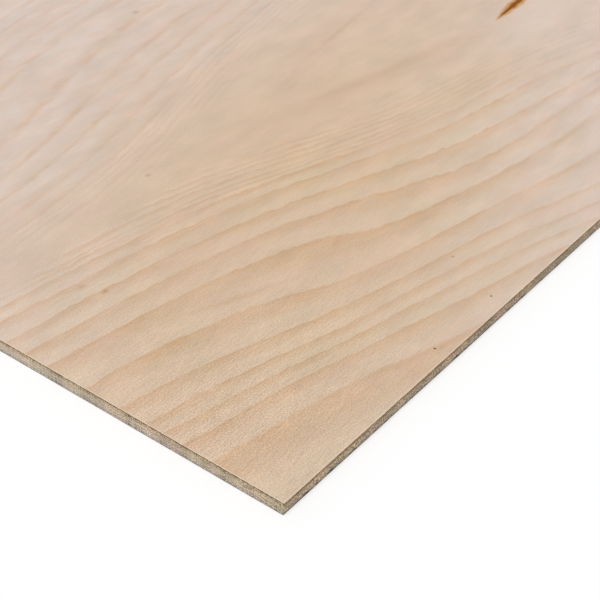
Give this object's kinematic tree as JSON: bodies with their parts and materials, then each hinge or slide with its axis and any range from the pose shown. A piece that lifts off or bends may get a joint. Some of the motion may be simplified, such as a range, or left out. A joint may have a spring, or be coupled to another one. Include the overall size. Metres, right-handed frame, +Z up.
{
  "type": "plywood sheet",
  "caption": "Thin flat rectangular birch plywood sheet of cross-laid veneers with square sawn edges, for lining, backing and light panels.",
  "frame": {"origin": "middle of the sheet's underside", "axes": "+X along the length and the face grain, +Y across the sheet, +Z up out of the face"},
  "size_m": [1.22, 0.61, 0.004],
  "materials": {
    "face_birch": "sanded, unfinished, grain along X",
    "core_birch": "sawn edges, grain along Y",
    "back_birch": "sanded, unfinished, grain along X"
  },
  "bodies": {
    "root": {"face_veneer": "face_birch", "core_veneer": "core_birch", "back_veneer": "back_birch"}
  },
  "joints": []
}
